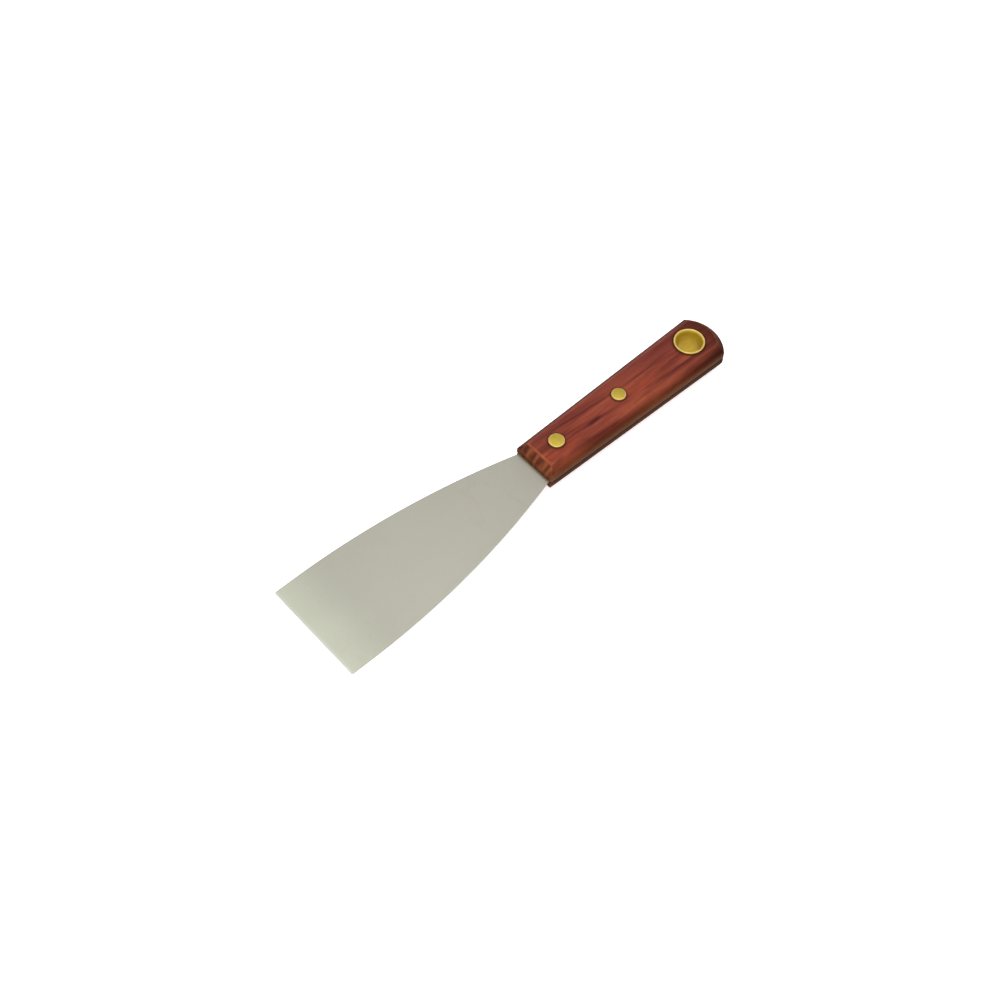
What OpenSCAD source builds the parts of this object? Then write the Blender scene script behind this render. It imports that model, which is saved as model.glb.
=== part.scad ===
// Flexible putty knife: a full-tang spring steel blade between two wooden scales.
// Two compression rivets and a flared brass eyelet, which lines the hanging hole, hold it together.
// +X runs from the scraping edge to the butt, +Y across the blade, +Z out of its upper face.
// The origin is under the middle of the knife, level with the lowest brass rim.

/* [Blade] */
// Width of the scraping edge
edge_w = 50.8; // [38:0.1:76]
// Length of blade in front of the handle
blade_l = 123; // [90:1:150]
// Width of the neck where the blade enters the handle
neck_w = 19.4; // [16:0.1:20.4]
// Length of the parallel stretch behind the scraping edge
parallel_l = 10; // [4:1:30]
// Thickness of the steel at the neck and between the scales
stock_t = 1.2; // [0.8:0.1:2]
// Thickness of the steel at the scraping edge
edge_t = 0.5; // [0.3:0.05:0.8]
// Depth of the tang's shoulders behind the front of the handle
shoulder_depth = 1.5; // [1:0.1:3]
// How far the tang's edge lies inside the sides of the scales
tang_inset = 0.3; // [0.1:0.1:1]

/* [Handle] */
// Length of the handle along its straight sides
handle_l = 106.3; // [104:0.1:125]
// Width of the handle at the blade end
front_w = 21.7; // [21.1:0.1:28]
// Width of the handle at the butt
butt_w = 26; // [24:0.1:30]
// Thickness of the handle over both scales
handle_t = 16; // [14:0.5:22]
// Height of the upright band along each side, over both scales
band_h = 7.6; // [3:0.1:9]
// How far each sloping side leans in from the band to the flat face
side_lean = 3.6; // [2:0.1:4.5]
// How far the sloping front end leans back from the band to the flat face
front_lean = 3.3; // [1:0.1:5]
// How far the sloping edge of the butt leans in from the band to the flat face
butt_lean = 3.6; // [1:0.1:4.5]
// Radius of the rounded butt, seen from above
butt_r = 17.7; // [17:0.1:30]

/* [Rivets] */
// Distance of the front rivet from the front of the handle
front_rivet_x = 13.4; // [11:0.1:20]
// Distance of the rear rivet from the front of the handle
rear_rivet_x = 51.2; // [40:0.1:65]
// Diameter of the front rivet's heads
front_head_d = 7.4; // [6:0.1:8]
// Diameter of the rear rivet's heads
rear_head_d = 6.7; // [6:0.1:8]
// Height of the rivet heads above the wood
head_h = 0.8; // [0.5:0.1:1.2]
// Outside diameter of each rivet's sleeve
sleeve_d = 4.8; // [4:0.1:5]
// Diameter of each rivet's pin, pressed into its sleeve
pin_d = 3; // [2:0.1:3.2]

/* [Eyelet] */
// Distance of the hanging hole from the front of the handle
eyelet_x = 96; // [85:0.1:97]
// Diameter of the hanging hole
bore_d = 11; // [8:0.1:11.4]
// Wall thickness of the eyelet
eyelet_wall = 0.5; // [0.3:0.05:0.6]
// Outside diameter of the eyelet's rims
rim_d = 14.3; // [14:0.1:15]
// Height of the eyelet's rims above the wood
rim_h = 0.9; // [0.6:0.1:1.4]
// Depth over which each end of the eyelet flares open
flare_depth = 3.5; // [1.5:0.1:4]

/* [Hidden] */

steel = "#b6b6a8";
rosewood = "#84392b";
brass = "#c3aa3f";

// Room between a fastener and the hole that it passes through, on the radius
hole_clearance = 0.1;
// Countersunk width that the flare takes from the wood, on the radius
countersink = 0.5;
// Upright edge and bevel of a rivet head
head_edge_h = 0.3;
head_bevel = 0.6;
// Metal left above the blind end of a sleeve's bore, and below its open end
sleeve_floor = 1;
sleeve_gap = 1.5;
// Length by which cutting shapes pass the solids they cut
over = 1;
// How far below the band's top edge the sloping edge of the butt begins
butt_drop = 0.2;
// Facets of small round pieces, and of the long shallow arcs
round_fn = 96;
arc_fn = 720;

half_t = handle_t / 2;
// Height of the leaning facets, from the band to the flat face
facet_rise = half_t - band_h / 2;
proud = max(head_h, rim_h);
butt_chord = sqrt(pow(butt_r, 2) - pow(butt_w / 2, 2));
butt_sag = butt_r - butt_chord;
overall_l = blade_l + handle_l + butt_sag;
side_angle = atan((butt_w - front_w) / 2 / handle_l);

// Each long edge of the blade is one arc, tangent to the parallel stretch and ending at the neck
taper_l = blade_l - parallel_l;
taper_w = (edge_w - neck_w) / 2;
edge_arc_r = (pow(taper_l, 2) + pow(taper_w, 2)) / (2 * taper_w);

// Eyelet radii: the hole, the outside of the barrel and the crown of the rolled rim
bore_r = bore_d / 2;
barrel_r = bore_r + eyelet_wall;
rim_r = rim_d / 2;
crown_r = (barrel_r + rim_r) / 2 + countersink / 4;

// Everything is drawn with the front of the handle at x = 0 and the blade's middle plane at z = 0
module placed() {
    translate([blade_l - overall_l / 2, 0, half_t + proud]) children();
}

// Plan of the handle, brought in by inset on every side, from z0 up to z1
module handle_plan(inset, z0, z1) {
    front_y = front_w / 2 - inset / cos(side_angle);
    far_x = handle_l + butt_sag + over;
    far_y = front_y + far_x * tan(side_angle);
    translate([0, 0, z0]) difference() {
        linear_extrude(z1 - z0)
            polygon([[0, -front_y], [far_x, -far_y], [far_x, far_y], [0, front_y]]);
        difference() {
            translate([handle_l - butt_chord, -butt_w, -over])
                cube([2 * butt_r, 2 * butt_w, z1 - z0 + 2 * over]);
            translate([handle_l - butt_chord, 0, -2 * over])
                cylinder(r = butt_r - inset, h = z1 - z0 + 4 * over, $fn = arc_fn);
        }
    }
}

// Wedge outside a plane that leaves the side at the band's top edge and leans in by lean at the flat face
module lean_cut(lean, length) {
    slope = lean / facet_rise;
    linear_extrude(length)
        polygon([
            [slope * over, band_h / 2 - over],
            [-slope * (facet_rise + over), half_t + over],
            [butt_w, half_t + over],
            [butt_w, band_h / 2 - over],
        ]);
}

// Block outside a cone about the butt's centre, which leans in as the facets do
module butt_cut() {
    centre_x = handle_l - butt_chord;
    slope = butt_lean / facet_rise;
    start_z = band_h / 2 - butt_drop;
    difference() {
        translate([centre_x, -butt_w, start_z - over])
            cube([2 * butt_r, 2 * butt_w, facet_rise + 2 * over]);
        translate([centre_x, 0, start_z - 2 * over])
            cylinder(
                r1 = butt_r + slope * 2 * over,
                r2 = butt_r - slope * (facet_rise + 2 * over),
                h = facet_rise + 4 * over,
                $fn = arc_fn
            );
    }
}

// One scale, lying on the upper face of the tang
module scale_body() {
    cut_l = handle_l + butt_r;
    difference() {
        handle_plan(0, stock_t / 2, half_t);
        for (side = [0, 1])
            mirror([0, side, 0])
                translate([-over, front_w / 2 - over * tan(side_angle), 0])
                    rotate([0, 0, side_angle])
                        rotate([90, 0, 90]) lean_cut(side_lean, cut_l);
        translate([0, -butt_w, 0]) rotate([90, 0, 180]) lean_cut(front_lean, 2 * butt_w);
        butt_cut();
        fastener_holes();
        translate([eyelet_x, 0, half_t - flare_depth])
            cylinder(
                r1 = barrel_r + hole_clearance,
                r2 = barrel_r + hole_clearance + countersink,
                h = flare_depth,
                $fn = round_fn
            );
    }
}

// Holes for the two rivet sleeves and the eyelet's barrel
module fastener_holes() {
    for (x = [front_rivet_x, rear_rivet_x])
        translate([x, 0, -half_t - over])
            cylinder(d = sleeve_d + 2 * hole_clearance, h = handle_t + 2 * over, $fn = round_fn);
    translate([eyelet_x, 0, -half_t - over])
        cylinder(r = barrel_r + hole_clearance, h = handle_t + 2 * over, $fn = round_fn);
}

// Outline of the blade in front of the handle, taller than the steel
module blade_outline() {
    h = stock_t + 2 * over;
    translate([-blade_l, -edge_w / 2, -h / 2]) cube([parallel_l, edge_w, h]);
    intersection() {
        translate([-taper_l, -edge_w / 2, -h / 2]) cube([taper_l, edge_w, h]);
        edge_arcs(h);
    }
}

// Common part of the two wide discs whose rims are the blade's long edges
module edge_arcs(h) {
    reach = edge_arc_r - edge_w / 2;
    intersection() {
        translate([-taper_l, -reach, -h]) cylinder(r = edge_arc_r, h = 2 * h, $fn = arc_fn);
        translate([-taper_l, reach, -h]) cylinder(r = edge_arc_r, h = 2 * h, $fn = arc_fn);
    }
}

// Side view of the steel: taper-ground from just inside the handle down to the scraping edge
module steel_side_view() {
    grind_x = shoulder_depth / 2;
    far_x = handle_l + butt_sag + over;
    translate([0, edge_w, 0]) rotate([90, 0, 0])
        linear_extrude(2 * edge_w)
            polygon([
                [-blade_l, -edge_t / 2],
                [grind_x, -stock_t / 2],
                [far_x, -stock_t / 2],
                [far_x, stock_t / 2],
                [grind_x, stock_t / 2],
                [-blade_l, edge_t / 2],
            ]);
}

module blade() color(steel) placed() {
    h = stock_t + 2 * over;
    difference() {
        intersection() {
            steel_side_view();
            union() {
                blade_outline();
                translate([-over / 2, -neck_w / 2, -h / 2]) cube([shoulder_depth + over, neck_w, h]);
                intersection() {
                    handle_plan(tang_inset, -h / 2, h / 2);
                    translate([shoulder_depth, -butt_w, -h]) cube([overall_l, 2 * butt_w, 2 * h]);
                }
            }
        }
        fastener_holes();
    }
}

module upper_scale() color(rosewood) placed() scale_body();

module lower_scale() color(rosewood) placed() mirror([0, 0, 1]) scale_body();

// Pan head of a rivet, with its flat underside at z = 0
module rivet_head(head_d) {
    rotate_extrude($fn = round_fn)
        polygon([
            [0, 0],
            [head_d / 2, 0],
            [head_d / 2, head_edge_h],
            [head_d / 2 - head_bevel, head_h],
            [0, head_h],
        ]);
}

// Half of a rivet with its head on the upper scale and a sleeve that reaches into the lower one
module rivet_sleeve(head_d) {
    tube_l = handle_t - sleeve_gap;
    translate([0, 0, half_t]) rivet_head(head_d);
    difference() {
        translate([0, 0, half_t - tube_l]) cylinder(d = sleeve_d, h = tube_l, $fn = round_fn);
        translate([0, 0, half_t - tube_l - over])
            cylinder(d = pin_d, h = tube_l - sleeve_floor + over, $fn = round_fn);
    }
}

// Half of a rivet with its head on the lower scale and a pin pressed into the sleeve
module rivet_pin(head_d) {
    translate([0, 0, -half_t]) mirror([0, 0, 1]) rivet_head(head_d);
    translate([0, 0, -half_t]) cylinder(d = pin_d, h = handle_t - 2 * sleeve_floor, $fn = round_fn);
}

module front_rivet_sleeve() color(brass) placed() translate([front_rivet_x, 0, 0]) rivet_sleeve(front_head_d);

module front_rivet_pin() color(brass) placed() translate([front_rivet_x, 0, 0]) rivet_pin(front_head_d);

module rear_rivet_sleeve() color(brass) placed() translate([rear_rivet_x, 0, 0]) rivet_sleeve(rear_head_d);

module rear_rivet_pin() color(brass) placed() translate([rear_rivet_x, 0, 0]) rivet_pin(rear_head_d);

// Half section of the eyelet: a straight barrel whose ends flare out over the wood
module eyelet_section() {
    flare_z = half_t - flare_depth;
    outer = [
        [barrel_r, flare_z],
        [barrel_r + countersink, half_t],
        [rim_r, half_t],
        [rim_r, half_t + rim_h / 2],
        [crown_r, half_t + rim_h],
        [bore_r + countersink + eyelet_wall / 2, half_t + rim_h / 2],
        [bore_r, flare_z],
    ];
    lower = [for (i = [len(outer) - 1 : -1 : 0]) [outer[i][0], -outer[i][1]]];
    polygon(concat(outer, lower));
}

module eyelet() color(brass) placed() translate([eyelet_x, 0, 0]) rotate_extrude($fn = round_fn) eyelet_section();

blade();
upper_scale();
lower_scale();
front_rivet_sleeve();
front_rivet_pin();
rear_rivet_sleeve();
rear_rivet_pin();
eyelet();
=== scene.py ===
import math

import bmesh
import bpy
from mathutils import Matrix, Vector


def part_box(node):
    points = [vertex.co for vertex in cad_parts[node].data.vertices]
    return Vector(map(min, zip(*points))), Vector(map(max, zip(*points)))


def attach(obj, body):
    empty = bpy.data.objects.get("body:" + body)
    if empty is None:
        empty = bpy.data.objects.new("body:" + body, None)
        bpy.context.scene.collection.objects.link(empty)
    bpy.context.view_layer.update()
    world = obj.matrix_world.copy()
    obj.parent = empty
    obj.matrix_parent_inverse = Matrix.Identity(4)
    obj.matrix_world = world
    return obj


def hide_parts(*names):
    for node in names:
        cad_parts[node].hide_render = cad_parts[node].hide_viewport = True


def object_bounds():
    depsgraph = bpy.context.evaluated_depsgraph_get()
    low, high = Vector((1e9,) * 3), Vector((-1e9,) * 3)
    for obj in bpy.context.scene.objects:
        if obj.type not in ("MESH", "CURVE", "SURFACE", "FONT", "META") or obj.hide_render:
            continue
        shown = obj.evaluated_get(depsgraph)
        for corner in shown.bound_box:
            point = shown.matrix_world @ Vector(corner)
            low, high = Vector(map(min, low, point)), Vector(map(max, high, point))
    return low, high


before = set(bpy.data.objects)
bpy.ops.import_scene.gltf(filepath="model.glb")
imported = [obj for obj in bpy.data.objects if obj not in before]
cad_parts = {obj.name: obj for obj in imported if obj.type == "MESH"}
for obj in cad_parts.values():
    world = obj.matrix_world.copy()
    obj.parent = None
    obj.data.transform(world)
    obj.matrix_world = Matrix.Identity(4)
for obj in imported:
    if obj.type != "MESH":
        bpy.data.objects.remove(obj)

CAD_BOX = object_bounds()
MM = 0.001


# ---------------------------------------------------------------- sizes, read from the frame

def half_width_at(node, x, reach=0.05 * MM):
    """Largest |y| among a CAD node's vertices that lie within reach of x."""
    return max(abs(v.co.y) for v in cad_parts[node].data.vertices if abs(v.co.x - x) < reach)


STEEL_LOW, STEEL_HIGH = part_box("blade")
WOOD_LOW, WOOD_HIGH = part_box("upper_scale")
RIM_LOW, RIM_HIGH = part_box("eyelet")

MID_Z = (STEEL_LOW.z + STEEL_HIGH.z) / 2
TIP_X = STEEL_LOW.x
FRONT_X = WOOD_LOW.x
BUTT_X = WOOD_HIGH.x
HALF_T = WOOD_HIGH.z - MID_Z
HALF_STOCK = WOOD_LOW.z - MID_Z
EDGE_HALF_W = STEEL_HIGH.y
FRONT_HALF_W = half_width_at("upper_scale", FRONT_X)
BUTT_HALF_W = WOOD_HIGH.y

# Sizes that the boxes don't give, as in the design
BLADE_L = FRONT_X - TIP_X
PARALLEL_L = 10 * MM
NECK_HALF_W = 9.7 * MM
EDGE_HALF_T = 0.25 * MM
SHOULDER_L = 1.5 * MM
TIP_CORNER_R = 0.6 * MM
TANG_INSET = 0.3 * MM
BAND_HALF_H = 3.8 * MM
SIDE_LEAN = 3.6 * MM
FRONT_LEAN = 3.3 * MM
BUTT_LEAN = 3.6 * MM
BUTT_R = 17.7 * MM
SLEEVE_R = 2.4 * MM
HOLE_CLEARANCE = 0.1 * MM
BORE_R = 5.5 * MM
BARREL_R = 6.0 * MM
FLARE_L = 3.5 * MM
COUNTERSINK = 0.5 * MM

BUTT_CHORD = math.sqrt(BUTT_R ** 2 - BUTT_HALF_W ** 2)
BUTT_CENTRE_X = BUTT_X - BUTT_R
CORNER_X = BUTT_CENTRE_X + BUTT_CHORD
SIDE_SLOPE = (BUTT_HALF_W - FRONT_HALF_W) / (CORNER_X - FRONT_X)
EYELET_X = (RIM_LOW.x + RIM_HIGH.x) / 2
RIM_R = (RIM_HIGH.x - RIM_LOW.x) / 2
RIM_H = RIM_HIGH.z - WOOD_HIGH.z


def rivet_sizes(name):
    """Where a rivet stands, and how wide and high its heads are."""
    low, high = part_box(name + "_sleeve")
    return {
        "x": (low.x + high.x) / 2,
        "head_r": (high.x - low.x) / 2,
        "head_h": high.z - WOOD_HIGH.z,
    }


RIVETS = {name: rivet_sizes(name) for name in ("front_rivet", "rear_rivet")}


# ---------------------------------------------------------------- mesh helpers

def new_object(name, data):
    obj = bpy.data.objects.new(name, data)
    bpy.context.scene.collection.objects.link(obj)
    return obj


def object_from_bmesh(name, bm):
    bmesh.ops.recalc_face_normals(bm, faces=bm.faces)
    mesh = bpy.data.meshes.new(name)
    bm.to_mesh(mesh)
    bm.free()
    return new_object(name, mesh)


def apply_modifiers(obj):
    """Bakes an object's modifiers into its mesh."""
    bpy.context.view_layer.update()
    graph = bpy.context.evaluated_depsgraph_get()
    mesh = bpy.data.meshes.new_from_object(obj.evaluated_get(graph))
    old = obj.data
    obj.modifiers.clear()
    obj.data = mesh
    bpy.data.meshes.remove(old)


def smooth(obj, angle):
    """Smooth shading, with edges sharper than angle kept crisp."""
    for polygon in obj.data.polygons:
        polygon.use_smooth = True
    obj.data.set_sharp_from_angle(angle=math.radians(angle))


def bridge(bm, a, b):
    """Joins two rings of vertices with a band of quads."""
    for j in range(len(a)):
        k = (j + 1) % len(a)
        bm.faces.new((a[j], b[j], b[k], a[k]))


def loft(bm, rings):
    """Skins a row of rings, with a flat face over each end."""
    for a, b in zip(rings, rings[1:]):
        bridge(bm, a, b)
    bm.faces.new(rings[0])
    bm.faces.new(list(reversed(rings[-1])))


def lathe(name, profile, centre, segments):
    """Turns a closed profile of (radius, z) points about a vertical axis at centre."""
    bm = bmesh.new()
    rings = []
    for i in range(segments):
        turn = 2 * math.pi * i / segments
        rings.append([
            bm.verts.new((centre.x + r * math.cos(turn), centre.y + r * math.sin(turn), centre.z + z))
            for r, z in profile
        ])
    for a, b in zip(rings, rings[1:] + rings[:1]):
        bridge(bm, a, b)
    bmesh.ops.remove_doubles(bm, verts=bm.verts, dist=1e-7)
    return object_from_bmesh(name, bm)


def arc_points(centre, radius, start, end, steps):
    """Points on an arc, with its angles in degrees from the first axis toward the second."""
    points = []
    for i in range(steps + 1):
        a = math.radians(start + (end - start) * i / steps)
        points.append((centre[0] + radius * math.cos(a), centre[1] + radius * math.sin(a)))
    return points


def bezier(control, steps):
    """Points on the Bezier curve that the control points give."""
    last = len(control) - 1
    points = []
    for i in range(steps + 1):
        t = i / steps
        weights = [math.comb(last, k) * (1 - t) ** (last - k) * t ** k for k in range(last + 1)]
        points.append(tuple(sum(w * p[axis] for w, p in zip(weights, control)) for axis in (0, 1)))
    return points


def fastener_holes():
    """The holes for the rivets and the eyelet, each as (x, radius)."""
    holes = [(rivet["x"], SLEEVE_R + HOLE_CLEARANCE) for rivet in RIVETS.values()]
    holes.append((EYELET_X, BARREL_R + HOLE_CLEARANCE))
    return holes


def drill(obj):
    """Cuts the fasteners' upright round holes through an object."""
    cutter_l = 40 * MM
    cutters = []
    for x, radius in fastener_holes():
        bm = bmesh.new()
        bmesh.ops.create_cone(
            bm, cap_ends=True, segments=96, radius1=radius, radius2=radius, depth=cutter_l,
            matrix=Matrix.Translation((x, 0, MID_Z)),
        )
        cutter = object_from_bmesh("cutter", bm)
        cutters.append(cutter)
        modifier = obj.modifiers.new("drill", "BOOLEAN")
        modifier.operation = "DIFFERENCE"
        modifier.solver = "EXACT"
        modifier.object = cutter
    apply_modifiers(obj)
    for cutter in cutters:
        mesh = cutter.data
        bpy.data.objects.remove(cutter)
        bpy.data.meshes.remove(mesh)


# ---------------------------------------------------------------- blade

def handle_half_width(x):
    return FRONT_HALF_W + SIDE_SLOPE * (x - FRONT_X)


def blade_half_width(x):
    """Half width of the steel at x: parallel, then one long arc down to the neck, then the tang."""
    along = x - TIP_X
    if along <= PARALLEL_L:
        return EDGE_HALF_W
    if along <= BLADE_L:
        taper_l = BLADE_L - PARALLEL_L
        taper_w = EDGE_HALF_W - NECK_HALF_W
        radius = (taper_l ** 2 + taper_w ** 2) / (2 * taper_w)
        return EDGE_HALF_W - radius + math.sqrt(radius ** 2 - (along - PARALLEL_L) ** 2)
    if along <= BLADE_L + SHOULDER_L:
        return NECK_HALF_W
    straight = handle_half_width(x) - TANG_INSET
    reach = BUTT_R - TANG_INSET
    inside = max(reach ** 2 - (x - BUTT_CENTRE_X) ** 2, 0)
    return min(straight, math.sqrt(inside)) if x > BUTT_CENTRE_X else straight


def blade_half_thickness(x):
    """Half thickness of the steel at x: ground evenly thinner from the shoulders to the scraping edge."""
    ground = (FRONT_X + SHOULDER_L / 2 - x) / (BLADE_L + SHOULDER_L / 2)
    return HALF_STOCK + (EDGE_HALF_T - HALF_STOCK) * max(ground, 0)


def blade_stations():
    """Places along X where the steel gets a cross section, closer together where its outline turns."""
    stations = [TIP_X + TIP_CORNER_R * (1 - math.cos(math.radians(a))) for a in range(0, 91, 15)]
    blade_steps = 72
    start = stations[-1]
    stations += [start + (FRONT_X - start) * i / blade_steps for i in range(1, blade_steps + 1)]
    shoulder = FRONT_X + SHOULDER_L
    stations += [shoulder, shoulder + 0.02 * MM]
    tang_steps = 40
    start = stations[-1]
    stations += [start + (CORNER_X - start) * i / tang_steps for i in range(1, tang_steps)]
    end = BUTT_X - TANG_INSET
    stations += [end - (end - CORNER_X) * (1 - math.sin(math.radians(a))) for a in range(0, 90, 6)]
    return stations + [end - 0.002 * MM]


def blade_section(x, half_w, half_t):
    """One closed cross section: flat faces and softly broken edges."""
    columns = 12
    broken = min(0.16 * MM, half_t * 0.7, half_w * 0.5)
    ring = []
    for side_y, side_z, turn in ((1, 1, 0), (-1, 1, 90), (-1, -1, 180), (1, -1, 270)):
        centre = (side_y * (half_w - broken), side_z * (half_t - broken))
        corner = arc_points(centre, broken, turn, turn + 90, 3)
        ring += corner
        if side_y == side_z:
            edge_y, z = corner[-1]
            inner_y = edge_y - side_y * min(0.2 * MM, abs(edge_y) / columns)
            ring.append((inner_y, z))
            ring += [(edge_y * (1 - 2 * i / columns), z) for i in range(1, columns)]
            ring.append((-inner_y, z))
    return [(x, y, MID_Z + z) for y, z in ring]


def make_blade():
    """The blade and its tang, as one piece of steel with rounded corners at the scraping edge."""
    bm = bmesh.new()
    rings = []
    for x in blade_stations():
        near = max(TIP_CORNER_R - (x - TIP_X), 0)
        half_w = blade_half_width(x) - (TIP_CORNER_R - math.sqrt(TIP_CORNER_R ** 2 - near ** 2))
        half_t = blade_half_thickness(x)
        rings.append([bm.verts.new(p) for p in blade_section(x, half_w, half_t)])
    loft(bm, rings)
    obj = object_from_bmesh("blade_steel", bm)
    drill(obj)
    smooth(obj, 30)
    return obj


# ---------------------------------------------------------------- scales

def scale_profile():
    """Side view of one scale from the steel up to its flat face, as (lean share, inset, height, share of
    painted edge highlight).
    """
    rise = HALF_T - BAND_HALF_H
    seam = 0.14 * MM
    foot = bezier(((seam, HALF_STOCK), (0, HALF_STOCK), (0, HALF_STOCK + seam)), 3)
    profile = [(0, inset, height, 0) for inset, height in foot]
    profile.append((0, 0, (HALF_STOCK + BAND_HALF_H) / 2, 0))
    steps = 8
    low_soft = 0.9 * MM
    low_end = (low_soft / rise, BAND_HALF_H + low_soft)
    low = bezier(((0, BAND_HALF_H - low_soft), (0, BAND_HALF_H), low_end), steps)
    profile += [(lean, 0, height, 0.25 * math.sin(math.pi * i / steps))
                for i, (lean, height) in enumerate(low)]
    profile += [(share, 0, BAND_HALF_H + rise * share, 0) for share in (0.4, 0.6)]
    top_soft = 0.8 * MM
    top_start = (1 - top_soft / rise, HALF_T - top_soft)
    top = bezier((top_start, (1, HALF_T), (1 + top_soft / SIDE_LEAN, HALF_T)), steps)
    profile += [(min(lean, 1), max(lean - 1, 0) * SIDE_LEAN, height, math.sin(math.pi * i / steps))
                for i, (lean, height) in enumerate(top)]
    profile.append((1, 1.3 * MM, HALF_T, 0))
    return profile


def side_meets_butt(shrink, radius):
    """The corner where a side, brought in by shrink, meets a butt arc of the given radius."""
    base = handle_half_width(BUTT_CENTRE_X) - shrink
    square = 1 + SIDE_SLOPE ** 2
    root = math.sqrt((SIDE_SLOPE * base) ** 2 - square * (base ** 2 - radius ** 2))
    x = BUTT_CENTRE_X + (root - SIDE_SLOPE * base) / square
    return x, handle_half_width(x) - shrink


def scale_ring(lean, inset):
    """Plan of the handle, anticlockwise, as (x, y, corner) points.

    Lean is the share of the facets' lean by which each edge is brought in, and inset comes on top.
    """
    shrink = (lean * SIDE_LEAN + inset) * math.sqrt(1 + SIDE_SLOPE ** 2)
    front_x = FRONT_X + lean * FRONT_LEAN + inset
    front_y = handle_half_width(front_x) - shrink
    radius = BUTT_R - lean * BUTT_LEAN - inset
    corner_x, corner_y = side_meets_butt(shrink, radius)
    soft = 0.3 * MM
    butt_soft = 1.6 * soft
    corner_steps = 6
    front_steps = 10
    half = [(front_x, (front_y - soft) * i / front_steps, 0) for i in range(front_steps)]
    bend = bezier(((front_x, front_y - soft), (front_x, front_y), (front_x + soft, front_y)), corner_steps)
    half += [(x, y, math.sin(math.pi * i / corner_steps)) for i, (x, y) in enumerate(bend)]
    side_steps = 60
    side_end = corner_x - butt_soft
    for i in range(1, side_steps):
        x = front_x + soft + (side_end - front_x - soft) * i / side_steps
        half.append((x, handle_half_width(x) - shrink, 0))
    arc_start = math.asin(corner_y / radius) - butt_soft / radius
    bend = bezier((
        (side_end, handle_half_width(side_end) - shrink),
        (corner_x, corner_y),
        (BUTT_CENTRE_X + radius * math.cos(arc_start), radius * math.sin(arc_start)),
    ), corner_steps)
    half += [(x, y, 0.5 * math.sin(math.pi * i / corner_steps)) for i, (x, y) in enumerate(bend)]
    arc_steps = 20
    for i in range(1, arc_steps + 1):
        a = arc_start * (1 - i / arc_steps)
        half.append((BUTT_CENTRE_X + radius * math.cos(a), radius * math.sin(a), 0))
    other = [(x, -y, corner) for x, y, corner in reversed(half[1:-1])]
    return list(reversed(half + other))


def make_scale(name, up):
    """One wooden scale: a slab with softly rounded facets, above (up=1) or below (up=-1) the tang."""
    bm = bmesh.new()
    edge_highlight = bm.verts.layers.float.new("edge_highlight")
    rings = []
    for lean, inset, height, highlight_share in scale_profile():
        ring = []
        for x, y, corner in scale_ring(lean, inset):
            vert = bm.verts.new((x, y, MID_Z + up * height))
            # Each vertex's share of the painted highlight along the rounded edges and corners.
            vert[edge_highlight] = max(highlight_share, 0.4 * corner)
            ring.append(vert)
        rings.append(ring)
    loft(bm, rings)
    obj = object_from_bmesh(name, bm)
    drill(obj)
    smooth(obj, 40)
    return obj


# ---------------------------------------------------------------- brass

def make_rivet(name, rivet, up):
    """One half of a rivet: a domed pan head, with its shank left inside the handle."""
    head_r, head_h = rivet["head_r"], rivet["head_h"]
    shank_l = 7 * MM
    edge_r = 0.32 * MM
    crown_steps = 8
    profile = [(0.0, -shank_l), (SLEEVE_R, -shank_l), (SLEEVE_R, 0.0), (head_r - 0.06 * MM, 0.0)]
    profile += arc_points((head_r - edge_r, head_h * 0.45), edge_r, -10, 78, 6)
    crown_r, crown_z = profile[-1]
    for i in range(1, crown_steps + 1):
        share = i / crown_steps
        rise = (head_h - crown_z) * math.sin(math.pi / 2 * share)
        profile.append((crown_r * (1 - share), crown_z + rise))
    profile = [(r, up * z) for r, z in profile]
    obj = lathe(name, profile, Vector((rivet["x"], 0, MID_Z + up * HALF_T)), 96)
    smooth(obj, 50)
    return obj


def make_eyelet():
    """The eyelet: a straight barrel that flares into a rolled rim over the wood at both ends."""
    flare_z = HALF_T - FLARE_L
    roll_r = (RIM_R - BARREL_R) / 2 * 0.62
    roll_z = HALF_T + RIM_H - roll_r
    crest = 120
    profile = [(BARREL_R, 0.0), (BARREL_R, flare_z), (BARREL_R + COUNTERSINK * 0.9, HALF_T)]
    profile += [(RIM_R - 0.12 * MM, HALF_T)]
    profile += arc_points((RIM_R - roll_r, roll_z), roll_r, -35, crest, 12)
    lip = profile[-1]
    pull_l = 0.75 * MM
    pull_angle = math.radians(crest)
    lip_pull = (lip[0] - pull_l * math.sin(pull_angle), lip[1] + pull_l * math.cos(pull_angle))
    throat_pull = (BORE_R, flare_z + 1.9 * MM)
    profile += bezier((lip, lip_pull, throat_pull, (BORE_R, flare_z)), 12)[1:]
    profile += [(BORE_R, flare_z * 0.5)]
    profile += [(r, -z) for r, z in reversed(profile[1:])]
    obj = lathe("eyelet_brass", profile, Vector((EYELET_X, 0, MID_Z)), 144)
    smooth(obj, 50)
    return obj


# ---------------------------------------------------------------- materials

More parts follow.
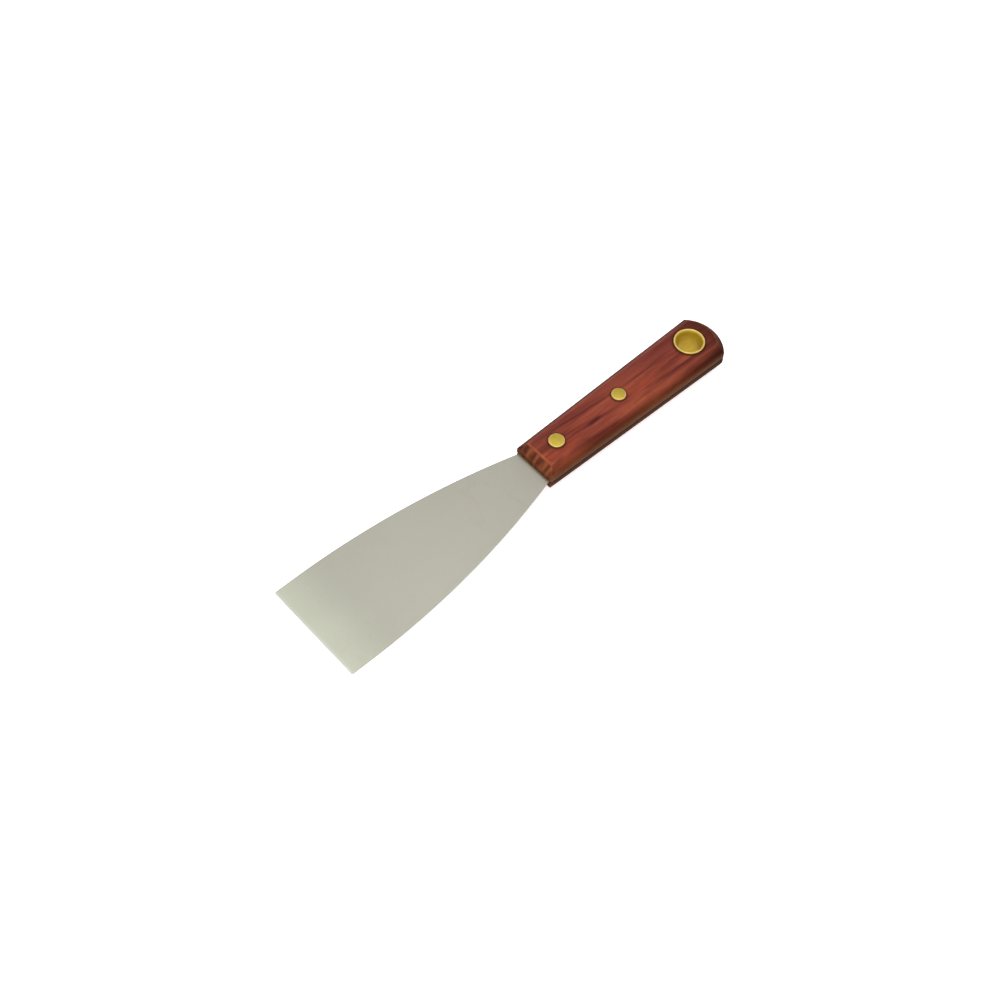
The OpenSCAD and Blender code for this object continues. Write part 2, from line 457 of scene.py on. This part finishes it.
class Nodes:
    """Adds and links the nodes of one material. The functions below call theirs n."""

    def __init__(self, name):
        self.material = bpy.data.materials.new(name)
        self.material.use_nodes = True
        self.tree = self.material.node_tree
        self.tree.nodes.clear()
        self.axes = {}
        output = self.add("ShaderNodeOutputMaterial")
        self.shader = self.add("ShaderNodeBsdfPrincipled")
        self.link(self.shader.outputs["BSDF"], output.inputs["Surface"])

    def add(self, kind, **values):
        node = self.tree.nodes.new(kind)
        for key, value in values.items():
            setattr(node, key, value)
        return node

    def link(self, a, b):
        self.tree.links.new(a, b)

    def place(self, scale=(1, 1, 1), shift=(0, 0, 0), turn=(0, 0, 0)):
        """Object coordinates in millimetres, stretched, moved and turned."""
        where = self.add("ShaderNodeTexCoord")
        mapping = self.add("ShaderNodeMapping")
        mapping.inputs["Scale"].default_value = tuple(s / MM for s in scale)
        mapping.inputs["Location"].default_value = shift
        mapping.inputs["Rotation"].default_value = tuple(math.radians(t) for t in turn)
        self.link(where.outputs["Object"], mapping.inputs["Vector"])
        return mapping.outputs["Vector"]

    def axis(self, letter):
        """One object coordinate, in millimetres."""
        if letter not in self.axes:
            where = self.add("ShaderNodeTexCoord")
            parts = self.add("ShaderNodeSeparateXYZ")
            self.link(where.outputs["Object"], parts.inputs["Vector"])
            self.axes[letter] = self.times(parts.outputs[letter], 1 / MM)
        return self.axes[letter]

    def noise(self, vector, detail, roughness, distortion=0.0):
        """A noise value around 0.5, whose scale the vector's own stretch sets."""
        node = self.add("ShaderNodeTexNoise")
        node.inputs["Scale"].default_value = 1.0
        node.inputs["Detail"].default_value = detail
        node.inputs["Roughness"].default_value = roughness
        node.inputs["Distortion"].default_value = distortion
        self.link(vector, node.inputs["Vector"])
        return node.outputs["Fac"]

    def ramp(self, value, stops):
        """A colour that changes with value, from stops of (position, colour)."""
        node = self.add("ShaderNodeValToRGB")
        elements = node.color_ramp.elements
        while len(elements) < len(stops):
            elements.new(0.5)
        for element, (position, colour) in zip(elements, stops):
            element.position = position
            element.color = colour + (1.0,)
        self.link(value, node.inputs["Fac"])
        return node.outputs["Color"]

    def remap(self, value, low, high, from_value=0.0, to_value=1.0):
        """Maps value from low..high to from_value..to_value, clamped and eased."""
        node = self.add("ShaderNodeMapRange", interpolation_type="SMOOTHSTEP")
        node.inputs["From Min"].default_value = low
        node.inputs["From Max"].default_value = high
        node.inputs["To Min"].default_value = from_value
        node.inputs["To Max"].default_value = to_value
        self.link(value, node.inputs["Value"])
        return node.outputs["Result"]

    def mix(self, factor, a, b, blend="MIX"):
        node = self.add("ShaderNodeMix", data_type="RGBA", blend_type=blend)
        self.feed(factor, node.inputs["Factor"])
        self.feed(a, node.inputs[6])
        self.feed(b, node.inputs[7])
        return node.outputs[2]

    def maths(self, operation, a, b=None):
        node = self.add("ShaderNodeMath", operation=operation)
        self.feed(a, node.inputs[0])
        if b is not None:
            self.feed(b, node.inputs[1])
        return node.outputs[0]

    def times(self, a, b):
        return self.maths("MULTIPLY", a, b)

    def plus(self, a, b):
        return self.maths("ADD", a, b)

    def minus(self, a, b):
        return self.maths("SUBTRACT", a, b)

    def feed(self, value, socket):
        """Links an output to a socket, or sets the socket to a plain value."""
        if isinstance(value, bpy.types.NodeSocket):
            self.link(value, socket)
        elif isinstance(value, tuple):
            socket.default_value = value + (1.0,)
        else:
            socket.default_value = value

    def bump(self, height, strength, distance, normal=None):
        node = self.add("ShaderNodeBump")
        node.inputs["Strength"].default_value = strength
        node.inputs["Distance"].default_value = distance
        self.link(height, node.inputs["Height"])
        if normal is not None:
            self.link(normal, node.inputs["Normal"])
        return node.outputs["Normal"]

    def finish(self, colour, roughness, normal, metallic=0.0, **fixed):
        """Sets the shader up, with plain values for the sockets named in fixed, and gives the material."""
        self.feed(colour, self.shader.inputs["Base Color"])
        self.feed(roughness, self.shader.inputs["Roughness"])
        if normal is not None:
            self.link(normal, self.shader.inputs["Normal"])
        self.shader.inputs["Metallic"].default_value = metallic
        for name, value in fixed.items():
            self.shader.inputs[name.replace("_", " ")].default_value = value
        return self.material


def srgb(r, g, b):
    """A colour given as 0 to 255 on the screen, as linear light."""
    def linear(c):
        c /= 255
        return c / 12.92 if c <= 0.04045 else ((c + 0.055) / 1.055) ** 2.4
    return (linear(r), linear(g), linear(b))


def steel_material():
    """Satin steel, with painted light: lighter toward the scraping edge, a painted reflection of the wood
    with contact shade along the handle's front, and painted shade on the tang inside the handle.
    """
    n = Nodes("satin_steel")
    along = n.axis("X")
    fine = n.noise(n.place((0.5, 10, 10)), 3.0, 0.6)
    cloud = n.noise(n.place((0.02, 0.035, 0.035)), 2.0, 0.5)
    grain = n.noise(n.place((3.0, 3.0, 3.0)), 2.0, 0.5)
    smudge = n.noise(n.place((0.11, 0.05, 0.05), (4, 1, 0), (0, 0, 35)), 3.0, 0.6, 0.8)
    # Painted light: the steel is lighter toward the scraping edge and a little darker toward the neck.
    tip_light_mask = n.remap(along, TIP_X / MM - 6, TIP_X / MM + 26, 1.0, 0.0)
    neck_shade_mask = n.remap(along, TIP_X / MM + 50, FRONT_X / MM, 0.0, 1.0)
    base = n.mix(neck_shade_mask, srgb(150, 149, 137), srgb(148, 145, 135))
    base = n.mix(tip_light_mask, base, srgb(170, 172, 156))
    base = n.mix(n.remap(cloud, 0.3, 0.7, 0.0, 0.15), base, srgb(136, 136, 126))
    base = n.mix(n.remap(fine, 0.3, 0.7, 0.0, 0.12), base, srgb(120, 120, 110))
    base = n.mix(n.remap(smudge, 0.60, 0.72, 0.0, 0.06), base, srgb(112, 108, 94))
    honed = n.remap(along, (TIP_X + 0.5 * MM) / MM, (TIP_X + 1.4 * MM) / MM, 0.4, 0.0)
    base = n.mix(honed, base, srgb(180, 182, 176))
    # Painted reflection of the handle's front face, with its contact shade, on the steel just before the
    # handle.
    wood_reflection_shade = n.remap(along, (FRONT_X - 1.3 * MM) / MM, (FRONT_X - 0.5 * MM) / MM, 0.0, 0.75)
    base = n.mix(wood_reflection_shade, base, srgb(140, 122, 92))
    # Painted shade on the tang, whose edge sits back in the seam between the scales.
    tang_shade = n.remap(along, FRONT_X / MM + 0.3, FRONT_X / MM + 1.2, 0.0, 1.0)
    base = n.mix(tang_shade, base, srgb(88, 72, 54))
    rough = n.remap(grain, 0.25, 0.75, 0.46, 0.56)
    normal = n.bump(fine, 0.06, 0.02 * MM)
    return n.finish(base, rough, normal, metallic=0.7)


def streak(n, wander, start, end, width, strength):
    """A soft streak in the wood between two points, each (distance from the front, y), in millimetres.

    Wander is a noise value that moves the streak sideways as the grain does.
    """
    x = n.minus(n.axis("X"), FRONT_X / MM)
    slope = (end[1] - start[1]) / (end[0] - start[0])
    line_y = n.plus(n.times(x, slope), start[1] - slope * start[0])
    offset = n.times(n.minus(wander, 0.5), 1.8 * width)
    away = n.maths("ABSOLUTE", n.plus(n.minus(n.axis("Y"), line_y), offset))
    across = n.remap(away, 0.1 * width, width, strength, 0.0)
    fade = (end[0] - start[0]) * 0.3
    opened = n.remap(x, start[0] - fade, start[0] + fade, 0.0, 1.0)
    closed = n.remap(x, end[0] - fade, end[0] + fade, 1.0, 0.0)
    return n.times(across, n.times(opened, closed))


def from_axis(n, x):
    """Distance from the upright line through (x, 0), in millimetres."""
    beyond = n.minus(n.axis("X"), x / MM)
    across = n.axis("Y")
    square = n.plus(n.times(beyond, beyond), n.times(across, across))
    return n.maths("SQRT", square)


def contact_shade(n, x, radius, reach):
    """Painted contact shade in a ring round a fastener."""
    return n.remap(from_axis(n, x), radius / MM, radius / MM + reach, 1.0, 0.0)


def above_steel(n):
    """Height above or below the middle of the steel, in millimetres."""
    return n.maths("ABSOLUTE", n.minus(n.axis("Z"), MID_Z / MM))


def wood_figure(n):
    """The run of the grain: broad reddish figure, paler zones and thin dark lines."""
    figure = n.noise(n.place((0.022, 0.24, 0.09), (2, 5, 1), (10, 0, 0)), 4.0, 0.55, 0.5)
    zone = n.noise(n.place((0.03, 0.12, 0.05), (7, 3, 1)), 2.0, 0.5)
    line = n.noise(n.place((0.03, 0.7, 0.20), (3.1, 1.7, 0.4), (10, 0, 0)), 4.0, 0.6, 0.5)
    base = n.ramp(figure, [
        (0.34, srgb(94, 42, 35)),
        (0.45, srgb(114, 53, 42)),
        (0.55, srgb(130, 63, 47)),
        (0.66, srgb(144, 73, 52)),
    ])
    base = n.mix(n.remap(zone, 0.50, 0.70, 0.0, 0.35), base, srgb(148, 74, 52))
    return n.mix(n.remap(line, 0.50, 0.66, 0.0, 0.62), base, srgb(88, 36, 31))


def wood_streaks(n, base):
    """One side in painted shade, the pale and dark streaks in their places, and painted shade toward the
    butt.
    """
    wander = n.noise(n.place((0.09, 0.02, 0.02)), 2.0, 0.5)
    # Painted shade on the +Y side.
    shaded = n.remap(n.axis("Y"), -1.0, 7.0, 0.0, 0.5)
    base = n.mix(shaded, base, srgb(88, 40, 40))
    for start, end in (((3, -4.8), (22, -5.6)), ((54, -3.4), (72, -3.8))):
        base = n.mix(streak(n, wander, start, end, 3.0, 0.45), base, srgb(156, 72, 48))
    base = n.mix(streak(n, wander, (17, 5.2), (48, 2.4), 0.9, 0.65), base, srgb(70, 30, 30))
    base = n.mix(streak(n, wander, (56, 2.2), (92, 0.4), 1.1, 0.45), base, srgb(76, 32, 32))
    base = n.mix(streak(n, wander, (30, -2.7), (37, -3.2), 1.5, 0.85), base, srgb(60, 28, 32))
    base = n.mix(streak(n, wander, (20, -2.0), (52, -5.2), 1.0, 0.5), base, srgb(76, 32, 30))
    base = n.mix(streak(n, wander, (64, -6.9), (112, -6.8), 1.3, 0.65), base, srgb(66, 28, 24))
    base = n.mix(streak(n, wander, (4, -0.8), (11, -1.2), 1.2, 0.4), base, srgb(76, 32, 30))
    # Painted shade toward the butt.
    butt_shade = n.remap(n.axis("X"), BUTT_X / MM - 22, BUTT_X / MM - 4, 0.0, 0.85)
    return n.mix(butt_shade, base, srgb(64, 30, 22))


def wood_end_grain(n, base, from_front):
    """Upright bands of end grain on the front facet, with painted shade at the far corner."""
    bend = n.noise(n.place((0.02, 0.16, 0.08), (3, 2, 5)), 2.0, 0.5)
    phase = n.plus(n.times(n.axis("Y"), 1.5), n.times(bend, 9.0))
    phase = n.plus(phase, n.times(n.axis("Z"), 0.25))
    band = n.plus(n.times(n.maths("SINE", phase), 0.5), 0.5)
    end_grain = n.ramp(band, [
        (0.08, srgb(82, 43, 29)),
        (0.35, srgb(104, 56, 39)),
        (0.65, srgb(120, 65, 44)),
        (0.95, srgb(136, 78, 49)),
    ])
    at_face = n.remap(from_front, 2.3, 3.4, 1.0, 0.0)
    base = n.mix(n.times(at_face, 0.85), base, end_grain)
    # Painted shade in the far corner of the front facet.
    corner_shade = n.times(at_face, n.remap(n.axis("Y"), 5.0, 9.5, 0.0, 0.7))
    return n.mix(corner_shade, base, srgb(54, 28, 20))


def wood_side_shade(n, base, from_front):
    """Painted shade on the sides, deeper toward the seam and deepest on the scale below it."""
    above = above_steel(n)
    side = n.remap(above, HALF_T / MM - 4.0, HALF_T / MM, 1.0, 0.0)
    low = n.remap(above, 1.5, 5.0, 1.0, 0.0)
    past_front = n.remap(from_front, 1.5, 3.6, 0.3, 1.0)
    # Painted shade on the side facets.
    base = n.mix(n.times(side, past_front), base, srgb(168, 170, 136), "MULTIPLY")
    # Painted shade near the seam.
    base = n.mix(n.times(low, 0.6), base, srgb(90, 60, 40))
    # Painted shade on the lower scale, under the steel.
    below = n.remap(n.axis("Z"), MID_Z / MM - 0.8, MID_Z / MM - 0.4, 1.0, 0.0)
    return n.mix(n.times(n.times(low, below), 0.65), base, srgb(44, 30, 22))


def wood_highlight_and_shade(n, base, from_front):
    """Painted highlight along the rounded edges, and painted contact shade round the rivets and the
    eyelet.
    """
    highlight_share = n.noise(n.place((0.25, 0.5, 0.5), (2, 6, 3)), 4.0, 0.6)
    edge = n.add("ShaderNodeAttribute", attribute_name="edge_highlight").outputs["Fac"]
    at_front = n.remap(from_front, 2.0, 8.0, 1.0, 0.25)
    # Painted highlight along the rounded edges, strongest near the front.
    painted_highlight = n.times(n.times(edge, at_front), n.remap(highlight_share, 0.3, 0.7, 0.35, 0.75))
    base = n.mix(painted_highlight, base, srgb(158, 88, 56))
    # Painted contact shade in rings round the rivets and the eyelet.
    for rivet in RIVETS.values():
        ring = contact_shade(n, rivet["x"], rivet["head_r"], 1.3)
        base = n.mix(n.times(ring, 0.7), base, srgb(50, 22, 18))
    ring = contact_shade(n, EYELET_X, RIM_R, 1.6)
    return n.mix(n.times(ring, 0.75), base, srgb(46, 20, 16))


def wood_material():
    """Rosewood, with its grain and its marks in the handle's own places, and painted shade and highlights.
    """
    n = Nodes("rosewood")
    from_front = n.minus(n.axis("X"), FRONT_X / MM)
    base = wood_figure(n)
    base = wood_streaks(n, base)
    base = wood_end_grain(n, base, from_front)
    base = wood_side_shade(n, base, from_front)
    base = wood_highlight_and_shade(n, base, from_front)
    fibre = n.noise(n.place((0.16, 6.0, 3.0)), 3.0, 0.6)
    pore = n.noise(n.place((0.30, 7.0, 5.0), (5, 2, 8)), 2.0, 0.5)
    rough = n.remap(fibre, 0.3, 0.7, 0.46, 0.60)
    normal = n.bump(fibre, 0.25, 0.05 * MM)
    normal = n.bump(n.remap(pore, 0.60, 0.72, 1.0, 0.0), 0.3, 0.05 * MM, normal)
    return n.finish(base, rough, normal, IOR=1.06)


def brass_wear(n, base, light, dark, roughness, metallic):
    """Clouded, finely scratched brass over a base colour."""
    cloud = n.noise(n.place((0.5, 0.5, 0.5)), 3.0, 0.5)
    scratch = n.noise(n.place((3.0, 9.0, 3.0), (1, 2, 3), (0, 0, 35)), 3.0, 0.6)
    base = n.mix(n.remap(cloud, 0.35, 0.65, 0.0, 0.25), base, dark)
    base = n.mix(n.remap(scratch, 0.55, 0.75, 0.0, 0.20), base, light)
    rough = n.remap(scratch, 0.3, 0.7, roughness - 0.05, roughness + 0.08)
    normal = n.bump(scratch, 0.08, 0.02 * MM)
    return n.finish(base, rough, normal, metallic=metallic)


def rivet_material(name, rivet):
    """Brass of one rivet, with a painted highlight round the edge of its head."""
    n = Nodes(name)
    edge = (rivet["head_r"] - 0.75 * MM) / MM
    # Painted highlight on the rounded edge of the head.
    pale = n.remap(from_axis(n, rivet["x"]), edge, edge + 0.55, 0.0, 1.0)
    base = n.mix(pale, srgb(162, 142, 50), srgb(192, 164, 100))
    return brass_wear(n, base, srgb(178, 158, 84), srgb(128, 114, 50), 0.42, 0.8)


def eyelet_material():
    """Brass of the eyelet: a painted highlight on the rolled rim, painted shade just inside it, and
    painted reflected light lower down the bore.
    """
    n = Nodes("eyelet_brass")
    above = above_steel(n)
    # Painted light in the bore: darker just inside the rim, brighter yellow lower down.
    inside = n.remap(above, HALF_T / MM - 2.6, HALF_T / MM + 0.5, 0.0, 1.0)
    # Painted highlight on the rolled rim.
    rim = n.remap(above, HALF_T / MM + 0.45, HALF_T / MM + 0.85, 0.0, 1.0)
    base = n.mix(inside, srgb(208, 180, 46), srgb(190, 164, 44))
    base = n.mix(rim, base, srgb(206, 178, 104))
    return brass_wear(n, base, srgb(208, 184, 92), srgb(160, 138, 44), 0.40, 0.55)


def floor_material():
    """Pale matt paper, slightly lit of itself so that hardly any shadow shows on it."""
    n = Nodes("studio_floor")
    cloud = n.noise(n.place((0.004, 0.004, 0.004)), 2.0, 0.5)
    base = n.mix(n.remap(cloud, 0.3, 0.7), (0.86, 0.86, 0.86), (0.88, 0.88, 0.88))
    return n.finish(
        base, 0.9, None,
        Specular_IOR_Level=0.1,
        Emission_Color=(1, 1, 1, 1),
        Emission_Strength=0.6,
    )


# ---------------------------------------------------------------- the knife

def put(obj, material, slot, *nodes):
    """Gives a piece its material, hangs it under the root body, and hides the CAD nodes that it stands
    for.
    """
    obj.data.materials.clear()
    obj.data.materials.append(material)
    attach(obj, "root")
    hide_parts(*nodes)


wood = wood_material()
put(make_blade(), steel_material(), "blade_steel", "blade")
put(make_scale("scale_upper", 1), wood, "scale_wood", "upper_scale")
put(make_scale("scale_lower", -1), wood, "scale_wood", "lower_scale")
for rivet_name, rivet in RIVETS.items():
    brass = rivet_material(rivet_name + "_brass", rivet)
    put(make_rivet(rivet_name + "_upper", rivet, 1), brass, "rivet_brass", rivet_name + "_sleeve")
    put(make_rivet(rivet_name + "_lower", rivet, -1), brass, "rivet_brass", rivet_name + "_pin")
put(make_eyelet(), eyelet_material(), "eyelet_brass", "eyelet")


# ---------------------------------------------------------------- studio

def direction(azimuth, elevation):
    """The direction of the given angles, in degrees."""
    a, e = math.radians(azimuth), math.radians(elevation)
    return Vector((math.cos(a) * math.cos(e), math.sin(a) * math.cos(e), math.sin(e)))


def make_floor():
    """A pale round floor that curves up into a seamless backdrop far from the knife."""
    flat_r = 1.3
    rise_r = 1.0
    bm = bmesh.new()
    profile = [(flat_r * i / 6, 0) for i in range(1, 6)]
    profile += [(flat_r + rise_r * math.sin(a), rise_r * (1 - math.cos(a)))
                for a in (math.radians(6 * i) for i in range(16))]
    segments = 96
    turns = [2 * math.pi * i / segments for i in range(segments)]
    rings = [[bm.verts.new((r * math.cos(t), r * math.sin(t), z)) for t in turns] for r, z in profile]
    bm.faces.new(rings[0])
    for a, b in zip(rings, rings[1:]):
        bridge(bm, a, b)
    floor = object_from_bmesh("floor", bm)
    floor.location.z = CAD_BOX[0][2]
    smooth(floor, 30)
    floor.data.materials.append(floor_material())


def make_light(name, azimuth, elevation, distance, size, power):
    """A square soft light that looks at the knife from the given direction, in degrees."""
    data = bpy.data.lights.new(name, "AREA")
    data.shape = "SQUARE"
    data.size = size
    data.energy = power
    light = new_object(name, data)
    away = direction(azimuth, elevation)
    light.location = away * distance
    light.rotation_euler = away.to_track_quat("Z", "Y").to_euler()


def make_world(strength):
    world = bpy.data.worlds.new("studio")
    world.use_nodes = True
    background = world.node_tree.nodes["Background"]
    background.inputs["Color"].default_value = (1.0, 1.0, 1.0, 1.0)
    background.inputs["Strength"].default_value = strength
    bpy.context.scene.world = world


def make_camera(target, azimuth, elevation, roll, distance, lens):
    """The camera looks along azimuth, down by elevation, from distance before the target."""
    data = bpy.data.cameras.new("camera")
    data.lens = lens
    data.sensor_width = 36.0
    data.clip_end = 20.0
    camera = new_object("camera", data)
    look = direction(azimuth, -elevation)
    turn = look.to_track_quat("-Z", "Y") @ Matrix.Rotation(math.radians(roll), 3, "Z").to_quaternion()
    camera.rotation_mode = "QUATERNION"
    camera.rotation_quaternion = turn
    camera.location = Vector(target) - look * distance
    bpy.context.scene.camera = camera


make_floor()
make_world(0.55)
make_light("overhead", azimuth=40, elevation=80, distance=1.2, size=0.9, power=9)
make_light("fill", azimuth=215, elevation=50, distance=1.4, size=1.0, power=4)
make_camera(
    target=(FRONT_X - 21.93 * MM, 0.7 * MM, MID_Z),
    azimuth=46.54,
    elevation=56.81,
    roll=1.63,
    distance=0.7335,
    lens=61.8,
)
bpy.context.scene.view_settings.view_transform = "Standard"
